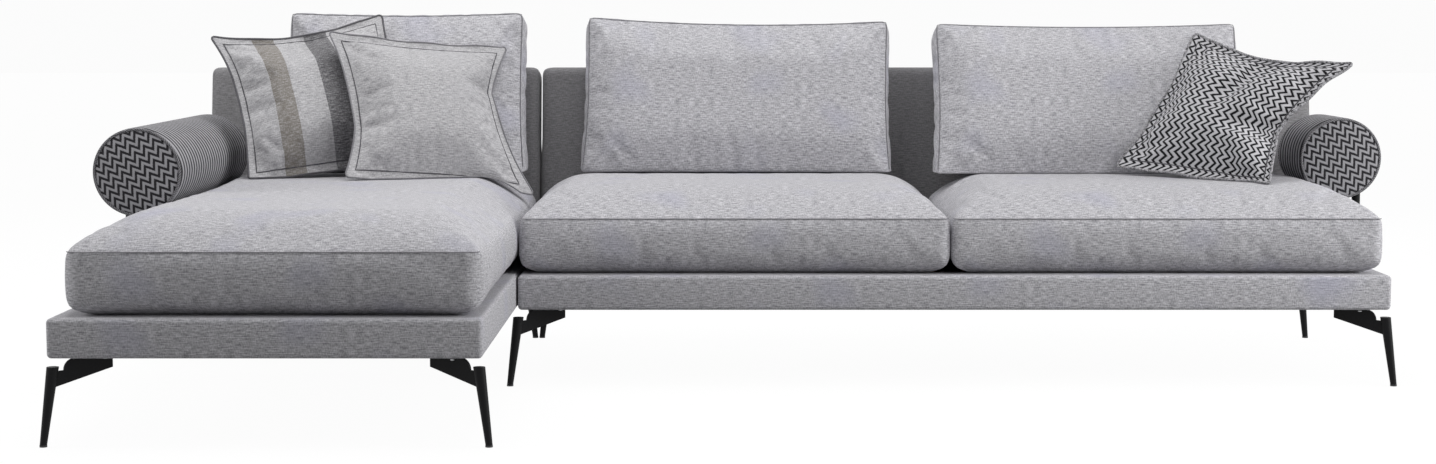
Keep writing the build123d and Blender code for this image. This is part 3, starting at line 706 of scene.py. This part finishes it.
def facing(yaw, lean, roll):
    """The directions along, up and out of a cushion: yaw turns it left, lean tips it back, roll swings it."""
    turn, tip, swing = math.radians(yaw), math.radians(lean), math.radians(roll)
    face = Vector((-math.sin(turn), -math.cos(turn), 0))
    sideways = Vector((math.cos(turn), -math.sin(turn), 0))
    rise = Vector((0, 0, math.cos(tip))) - face * math.sin(tip)
    outwards = face * math.cos(tip) + Vector((0, 0, math.sin(tip)))
    along = sideways * math.cos(swing) + rise * math.sin(swing)
    return along, outwards.cross(along), outwards


def press_flat(piece):
    """Flattens a cushion where it stands on the seats and where it leans on a back panel."""
    points = points_of(piece)
    points[:, 2] = np.maximum(points[:, 2], resting_height + cushion_gap)
    panel = base_rear - back_set + (points[:, 2] - base_top) * lean_run
    points[:, 1] = np.minimum(points[:, 1], panel - cushion_gap)
    set_points(piece, points)


def make_back_cushion(name, middle_x, width, height, lean, roll, forward, sag):
    """Loose back cushion leant against its panel."""
    piece = gridded_box(f"{name}_cloth", width, height, cushion_border, cushion_cell)
    points = points_of(piece)
    faces = np.abs(points[:, 2]) > cushion_border / 2 - 1e-5
    on_side = (np.abs(points[:, 0]) > width / 2 - 1e-5) | (np.abs(points[:, 1]) > height / 2 - 1e-5)
    seam = on_side & faces
    shown = seam & (points[:, 2] > 0) & (points[:, 1] > 0.02 - height / 2)
    distance = edge_distance(points, width, height)
    inset = cushion_seam_inset * (2 * np.abs(points[:, 2]) / cushion_border) ** 2
    points[:, 0] *= 1 - inset / (width / 2)
    points[:, 1] *= 1 - inset / (height / 2)
    points = round_corners(points, width, height, cushion_corner)
    crown = (cushion_thickness - cushion_border) / 2
    side = np.sign(points[:, 2])
    points[faces, 2] += side[faces] * crown * swell(distance[faces], cushion_reach, cushion_fullness)
    points = draw_in(points, width, height, cushion_draw)
    upper = np.clip(points[:, 1] / (height / 2), 0, 1)
    points[:, 1] -= sag * upper**2 * (1 - (2 * points[:, 0] / width) ** 2)
    lower = np.clip(-points[:, 1] / (height / 2), 0, 1)
    outer = np.clip(0.5 + points[:, 2] / cushion_border, 0, 1)
    points[:, 0] *= 1 + cushion_flare * lower**2
    points[:, 1] -= cushion_border * math.tan(math.radians(lean)) * outer * lower**3
    set_points(piece, points)
    stuff(piece, seam, cushion_stuffing, cushion_slack, cushion_spare)
    reach = height / 2 - cushion_sink
    panel_run = (resting_height + reach - base_top) * lean_run
    middle = Vector(
        (
            middle_x,
            base_rear - back_set + panel_run - cushion_thickness / 2 - forward,
            resting_height + reach * math.cos(math.radians(lean)),
        )
    )
    place_piece(piece, middle, *facing(0, lean, roll))
    press_flat(piece)
    sew_seam(piece, shown, name)
    nodes = [f"{name}_cover", f"{name}_fill"]
    finish_cloth(piece, grey_upholstery, name, nodes)


chaise_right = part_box("chaise_base_cover")[1].x
sofa_left = base_low.x
make_back_cushion("chaise_back_cushion", chaise_right - 0.330, 0.600, 0.418, 13, 0, 0, 0.004)
make_back_cushion("left_back_cushion", sofa_left + 0.504, 0.772, 0.404, 15, -0.8, 0, 0.012)
make_back_cushion("right_back_cushion", sofa_left + 1.391, 0.772, 0.404, 23, 0, 0.022, 0.006)

# %% [markdown]
# ## Scatter cushions
# Two panels of cloth sewn together a finger's width inside their edge, so a flat border stands all round.
# The stuffing starts at that seam, where a dark thread is painted shade for the groove, and the border's raw
# edge is bound with a cord, darker on the plain and striped cushions as painted shade for their shadowed
# outline.
# The border follows the cushion's drawn-in sides, and folds are pressed in where the cushion was plumped
# and dropped in its corner.

# %% Scatter cushions
scatter_width = 0.440
scatter_height = 0.405
scatter_thickness = 0.112
scatter_border = 0.020
border_thickness = 0.005
scatter_cell = 0.0075
scatter_corner = 0.014
scatter_fullness = 3.0
scatter_stuffing = 3.0
scatter_slack = 0.04
scatter_spare = 0.014
border_ripple = 0.003
ripple_across = 47
ripple_upward = 39
groove_radius = 0.0017
# Cotton binding and thread: dull, one colour per cushion, speckled where the cloth is herringbone. The groove
# thread and the pale and dark bindings are darker than their cloth, as painted shade for the shaded seam groove
# and the shadowed outline of the border.
groove_shade_thread = make_grained("groove thread with painted shade", "#49484c", "#5b5a5e", 0.95, (300, 300, 300))
pale_binding_shade = make_grained("pale edge binding with painted shade", "#77767a", "#8d8c90", 0.95, (300, 300, 300))
dark_binding_shade = make_grained("dark edge binding with painted shade", "#525155", "#6b6a6e", 0.95, (300, 300, 300))
speckled_binding = make_grained("speckled edge binding", "#151417", "#c6c5c9", 0.95, (230, 230, 230))


def seat_height(points):
    """Height of the seat cushions under each point."""
    height = np.full(len(points), base_top)
    for name in seat_corners:
        low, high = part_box(f"{name}_cover")
        size = high - low
        spots = points - np.array((low + high) / 2)
        above = (np.abs(spots[:, 0]) < size.x / 2) & (np.abs(spots[:, 1]) < size.y / 2)
        rise = swell(seat_distance(spots, size), seat_crown_reach, seat_crown_power)
        height[above] = low.z + seat_seam + (size.z - seat_seam) * rise[above] + seat_spare
    return np.minimum(height, resting_height)


def bow(share, depth, peak, sharpness):
    """How far a side is drawn in: deepest at its peak, as a curve or as a sharp kink."""
    tent = np.clip(1 - np.abs(share - peak) / np.where(share > peak, 1 - peak, 1 + peak), 0, 1)
    return depth * tent * (1 + (1 - sharpness) * (1 - tent))


def press_folds(points, front, folds):
    """Presses folds into the front panel. Each runs between two points and has a depth and a half width."""
    for start_x, start_y, end_x, end_y, depth, half_width in folds:
        run = np.array([end_x - start_x, end_y - start_y])
        offset = points[:, :2] - (start_x, start_y)
        along = np.clip(offset @ run / (run @ run), 0, 1)
        away = np.linalg.norm(offset - along[:, None] * run, axis=1)
        dip = depth * (1 - along**2) * np.exp(-((away / half_width) ** 2))
        points[front, 2] -= np.minimum(dip, 0.8 * np.maximum(points[:, 2], 0))[front]


def make_scatter(name, place, turns, cloth, bows, ears, folds, binding, binding_radius):
    """Scatter cushion with a flat border and a cord bound round its edge, which on the plain and striped
    cushions is darker as painted shade. Bows draw its left, right, lower and upper side in, and ears move its
    upper left, upper right, lower left and lower right corner."""
    piece = gridded_box(f"{name}_cloth", scatter_width, scatter_height, border_thickness, scatter_cell)
    points = points_of(piece)
    inside = edge_distance(points, scatter_width, scatter_height) - scatter_border
    aside = np.minimum(scatter_width / 2 - np.abs(points[:, 0]), scatter_height / 2 - np.abs(points[:, 1]))
    front = points[:, 2] > 0
    seam = np.abs(aside - scatter_border) < scatter_cell / 2
    side = np.sign(points[:, 2])
    half_rise = (scatter_thickness - border_thickness) / 2
    reach = scatter_height / 2 - scatter_border
    puff = swell(np.maximum(inside, 0), reach, scatter_fullness)
    points[:, 2] += side * half_rise * puff
    points = round_corners(points, scatter_width, scatter_height, scatter_corner)
    across = points[:, 0] / (scatter_width / 2)
    upward = points[:, 1] / (scatter_height / 2)
    left, right, lower, upper = bows
    points[:, 0] += across**2 * np.where(across < 0, bow(upward, *left), -bow(upward, *right))
    points[:, 1] += upward**2 * np.where(upward < 0, bow(across, *lower), -bow(across, *upper))
    corners = ((-1, 1), (1, 1), (-1, -1), (1, -1))
    for (right, top), (ear_x, ear_y) in zip(corners, ears):
        near = (np.clip(right * across, 0, 1) * np.clip(top * upward, 0, 1)) ** 2
        points[:, 0] += ear_x * near
        points[:, 1] += ear_y * near
    set_points(piece, points)
    held = aside < scatter_border + scatter_cell / 2
    stuff(piece, held, scatter_stuffing, scatter_slack, scatter_spare)
    points = points_of(piece)
    press_folds(points, front, folds)
    ripple = np.sin(points[:, 0] * ripple_across + points[:, 1] * ripple_upward)
    points[:, 2] += border_ripple * ripple * np.clip(1 - aside / scatter_border, 0, 1)
    set_points(piece, points)
    place_piece(piece, place, *facing(*turns))
    points = points_of(piece)
    points[:, 2] = np.maximum(points[:, 2], seat_height(points) + cushion_gap + binding_radius)
    set_points(piece, points)
    # The groove thread is the seam line, darkened as painted shade for its groove.
    sew_seam(piece, seam & front, name, radius=groove_radius, thread=groove_shade_thread)
    # The edge cord's darker colour on the plain and striped cushions is painted shade for the border's shadowed
    # outline.
    sew_seam(piece, (aside < 1e-5) & front, name, "binding", binding_radius, binding)
    nodes = [f"{name}_cover", f"{name}_fill"]
    finish_cloth(piece, cloth, name, nodes)


# %% Striped cushion
chaise_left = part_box("chaise_base_cover")[0].x
sofa_front = base_low.y
sofa_right = base_high.x
no_ear = (0, 0)
striped_place = Vector((chaise_left + 0.321, sofa_front + 0.487, resting_height + 0.192))
striped_bows = ((0.032, 0.15, 0), (0.016, 0, 0), (0.003, 0, 0), (0.034, -0.1, 0))
striped_ears = (no_ear, no_ear, (0.006, 0.008), no_ear)
striped_folds = (
    (-0.19, 0.05, -0.11, 0.03, 0.012, 0.012),
    (-0.19, -0.02, -0.12, -0.01, 0.010, 0.010),
    (-0.18, 0.16, -0.09, 0.10, 0.008, 0.012),
    (0.02, 0.17, 0.01, 0.08, 0.012, 0.016),
    (-0.17, -0.16, -0.09, -0.10, 0.010, 0.014),
)
make_scatter(
    "striped_cushion",
    striped_place,
    (-20, 27, 8),
    striped_cloth,
    striped_bows,
    striped_ears,
    striped_folds,
    dark_binding_shade,
    0.0026,
)

# %% Plain cushion
plain_place = Vector((chaise_left + 0.601, sofa_front + 0.458, resting_height + 0.161))
plain_bows = ((0.033, -0.3, 0.4), (0.052, 0.3, 0.6), (0.003, 0, 0), (0.012, 0.1, 0))
plain_ears = ((-0.018, 0.004), (0.002, -0.004), (-0.003, 0.003), (0.032, -0.022))
plain_folds = (
    (0.17, 0.07, 0.07, 0.05, 0.018, 0.014),
    (-0.18, -0.06, -0.13, 0.05, 0.014, 0.012),
    (-0.18, -0.07, -0.08, -0.06, 0.012, 0.012),
    (0.19, -0.17, 0.08, -0.09, 0.012, 0.016),
    (-0.19, 0.17, -0.11, 0.09, 0.010, 0.014),
)
make_scatter(
    "plain_cushion",
    plain_place,
    (-24, 31, -5),
    plain_cloth,
    plain_bows,
    plain_ears,
    plain_folds,
    pale_binding_shade,
    0.0020,
)

# %% Herringbone cushion
herringbone_place = Vector((sofa_right - 0.280, sofa_front + 0.408, resting_height + 0.158))
herringbone_bows = ((0.010, 0, 0), (0.075, -0.18, 0.8), (0.006, 0, 0), (0.042, 0.15, 0.5))
herringbone_ears = ((-0.006, 0.016), (0.030, -0.016), (-0.018, -0.006), (-0.020, 0.014))
herringbone_folds = (
    (0.05, 0.17, -0.03, -0.04, 0.052, 0.030),
    (0.14, -0.04, 0.01, -0.07, 0.036, 0.026),
    (-0.17, -0.15, -0.05, -0.08, 0.014, 0.018),
    (-0.18, 0.16, -0.10, 0.07, 0.014, 0.016),
    (0.10, -0.17, 0.04, -0.10, 0.014, 0.016),
)
make_scatter(
    "herringbone_cushion",
    herringbone_place,
    (42, 38, -7),
    cushion_herringbone,
    herringbone_bows,
    herringbone_ears,
    herringbone_folds,
    speckled_binding,
    0.0034,
)

# %% [markdown]
# ## Arm rolls
# Each roll is a padded tube in herringbone cloth, with a round end panel and a thin cord sewn in at its rim.
# A cylinder is cut along its length, its ends are inset into rings, and the rim is rounded by a bevel.

# %% Arm rolls
roll_rim = 0.016
roll_dome = 0.006
roll_sides = 96
roll_cell = 0.02
roll_end_rings = 6
rim_cord = 0.0032
rim_cord_inset = 0.004
rim_cord_set = 0.0035
row_draw = 0.1
row_spread = 0.78


def make_roll(name):
    """Padded roll along Y that fills the space of its CAD cover."""
    low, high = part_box(f"{name}_cover")
    middle = (low + high) / 2
    radius = (high.x - low.x) / 2
    length = high.y - low.y
    bpy.ops.object.select_all(action="DESELECT")
    bpy.ops.mesh.primitive_cylinder_add(
        vertices=roll_sides, radius=radius, depth=length - 2 * roll_dome, rotation=(math.radians(90), 0, 0)
    )
    piece = bpy.context.object
    piece.name = f"{name}_cloth"
    piece.data.name = piece.name
    bpy.ops.object.transform_apply(location=False, rotation=True, scale=False)
    bpy.ops.object.mode_set(mode="EDIT")
    bpy.ops.mesh.select_mode(type="EDGE")
    mesh = bmesh.from_edit_mesh(piece.data)
    for edge in mesh.edges:
        run = edge.verts[1].co - edge.verts[0].co
        edge.select_set(abs(run.y) < 0.5 * run.length)
    bmesh.update_edit_mesh(piece.data)
    bpy.ops.mesh.bevel(offset=roll_rim, segments=5)
    mesh = bmesh.from_edit_mesh(piece.data)
    for edge in mesh.edges:
        edge.select_set(abs(edge.verts[1].co.y - edge.verts[0].co.y) > 0.5 * length)
    bmesh.update_edit_mesh(piece.data)
    bpy.ops.mesh.subdivide(number_cuts=round(length / roll_cell))
    bpy.ops.mesh.select_mode(type="FACE")
    mesh = bmesh.from_edit_mesh(piece.data)
    for face in mesh.faces:
        face.select_set(len(face.verts) > 4)
    bmesh.update_edit_mesh(piece.data)
    for _ in range(roll_end_rings):
        bpy.ops.mesh.inset(thickness=(radius - roll_rim) / (roll_end_rings + 1))
    bpy.ops.object.mode_set(mode="OBJECT")
    points = points_of(piece)
    off_axis = np.hypot(points[:, 0], points[:, 2])
    end = np.abs(points[:, 1]) > length / 2 - roll_dome - roll_rim
    bulge = roll_dome * (1 - np.clip(off_axis / (radius - roll_rim), 0, 1) ** 2)
    points[end, 1] += np.sign(points[end, 1]) * bulge[end]
    set_points(piece, points + np.array(middle))
    lay_round(piece, middle, radius)
    nodes = [f"{name}_cover", f"{name}_core"]
    finish_cloth(piece, roll_herringbone, "frame", nodes)
    add_rim_cord(name, middle, radius, length)


def lay_round(piece, middle, radius):
    """UV map in metres: flat on the ends, and unrolled round the tube. There the rows are drawn out along the
    tube's girth, so that they read as the fine rings of a tightly pulled cloth."""
    unroll = Matrix.Rotation(-math.radians(roll_turn), 2)
    layer = piece.data.uv_layers.active or piece.data.uv_layers.new(name="cloth")
    for face in piece.data.polygons:
        flat_end = abs(face.normal.y) > 0.7
        about = math.atan2(face.center.z - middle.z, face.center.x - middle.x)
        for loop in face.loop_indices:
            spot = piece.data.vertices[piece.data.loops[loop].vertex_index].co - middle
            angle = math.atan2(spot.z, spot.x)
            angle += 2 * math.pi * round((about - angle) / (2 * math.pi))
            round_tube = unroll @ Vector((angle * radius * row_draw, spot.y * row_spread))
            layer.data[loop].uv = (spot.x, spot.z) if flat_end else round_tube


def add_rim_cord(name, middle, radius, length):
    """The cord sewn in round each end panel."""
    for end, sign in (("front", -1), ("rear", 1)):
        bpy.ops.object.select_all(action="DESELECT")
        bpy.ops.mesh.primitive_torus_add(
            major_radius=radius - rim_cord_inset,
            minor_radius=rim_cord,
            major_segments=roll_sides,
            minor_segments=8,
            location=middle + Vector((0, sign * (length / 2 - roll_dome - rim_cord_set), 0)),
            rotation=(math.radians(90), 0, 0),
        )
        cord = bpy.context.object
        cord.name = f"{name}_{end}_cord"
        cord.data.name = cord.name
        bpy.ops.object.transform_apply(location=True, rotation=True, scale=True)
        bpy.ops.object.shade_smooth()
        cord.data.materials.append(roll_herringbone)
        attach(cord, "frame")


for name in ("left_roll", "right_roll"):
    make_roll(name)

# %% [markdown]
# ## Floor, light and camera
# A pale floor that shows white to the camera keeps only a faint shadow. One large soft lamp hangs above,
# weaker ones stand on both sides and behind, and the world gives even light from all round.

# %% Floor
def add_seen_rays(tree):
    """One where the camera sees the surface, straight, mirrored or through glass."""
    rays = node(tree, "LightPath")
    mirrored = node(
        tree,
        "Math",
        {0: rays.outputs["Is Glossy Ray"], 1: rays.outputs["Is Transmission Ray"]},
        operation="MAXIMUM",
    )
    seen = node(
        tree, "Math", {0: rays.outputs["Is Camera Ray"], 1: mirrored.outputs[0]}, operation="MAXIMUM"
    )
    return seen.outputs[0]


floor_size = 60
floor_drop = 0.001
floor_white_share = 0.88
floor_white_level = 1.095
bpy.ops.object.select_all(action="DESELECT")
bpy.ops.mesh.primitive_plane_add(size=floor_size, location=(0, 0, -floor_drop))
floor = bpy.context.object
floor.name = "floor"
floor_paint, floor_tree, floor_shader = new_finish("pale floor", 0.9)
floor_shader.inputs["Base Color"].default_value = linear("#9c9c9c")
floor_seen = node(
    floor_tree, "Math", {0: add_seen_rays(floor_tree), 1: floor_white_share}, operation="MULTIPLY"
)
floor_white = node(floor_tree, "Emission", {"Color": linear("#ffffff"), "Strength": floor_white_level})
floor_mix = node(
    floor_tree,
    "MixShader",
    {0: floor_seen.outputs[0], 1: floor_shader.outputs[0], 2: floor_white.outputs[0]},
)
floor_tree.links.new(floor_mix.outputs[0], floor_tree.nodes["Material Output"].inputs[0])
floor.data.materials.append(floor_paint)
print("floor:", floor_size, "m")

# %% World
world_level = 0.22
world_white_level = 0.97
world = bpy.data.worlds.new("studio")
bpy.context.scene.world = world
world.use_nodes = True
world_tree = world.node_tree
world_light = world_tree.nodes["Background"]
world_light.inputs["Color"].default_value = linear("#ffffff")
world_light.inputs["Strength"].default_value = world_level
world_white = node(world_tree, "Background", {"Color": linear("#ffffff"), "Strength": world_white_level})
world_mix = node(
    world_tree,
    "MixShader",
    {0: add_seen_rays(world_tree), 1: world_light.outputs[0], 2: world_white.outputs[0]},
)
world_tree.links.new(world_mix.outputs[0], world_tree.nodes["World Output"].inputs[0])
print("world:", world_level, "as light,", world_white_level, "as seen")


# %% Lamps
def add_lamp(name, place, target, size, power):
    """One square soft lamp turned to a point on the sofa."""
    bpy.ops.object.light_add(type="AREA", location=place)
    lamp = bpy.context.object
    lamp.name = name
    lamp.data.size = size
    lamp.data.energy = power
    lamp.rotation_euler = (Vector(target) - Vector(place)).to_track_quat("-Z", "Y").to_euler()
    print(name, power, "W")


add_lamp("overhead lamp", (-0.8, 0.1, 3.6), (-0.8, 0.1, 0.4), 2.4, 72)
add_lamp("key lamp", (2.7, -1.7, 2.6), (0.0, 0.0, 0.4), 1.6, 44)
add_lamp("right side lamp", (4.2, -0.9, 1.2), (-0.4, -0.3, 0.4), 1.6, 70)
add_lamp("left side lamp", (-3.6, -0.9, 1.5), (-1.2, 0.4, 0.6), 1.2, 28)
add_lamp("rear lamp", (0.3, 4.4, 2.0), (0.0, 0.6, 0.5), 2.2, 70)

# %% [markdown]
# The camera stands in front, a little left of the middle, at about chest height of a seated person,
# and looks level across the sofa with a slight tilt down.

# %% Camera
camera_from_left = 1.312
camera_from_rear = 6.110
camera_height = 0.84
camera_dip = 5.25
camera_lens = 58.66
camera_place = (chaise_left + camera_from_left, base_rear - camera_from_rear, camera_height)
camera_tilt = math.radians(90 - camera_dip)
bpy.ops.object.camera_add(location=camera_place, rotation=(camera_tilt, 0, 0))
camera = bpy.context.object
camera.data.sensor_width = 36
camera.data.lens = camera_lens
bpy.context.scene.camera = camera
bpy.context.scene.view_settings.view_transform = "Standard"
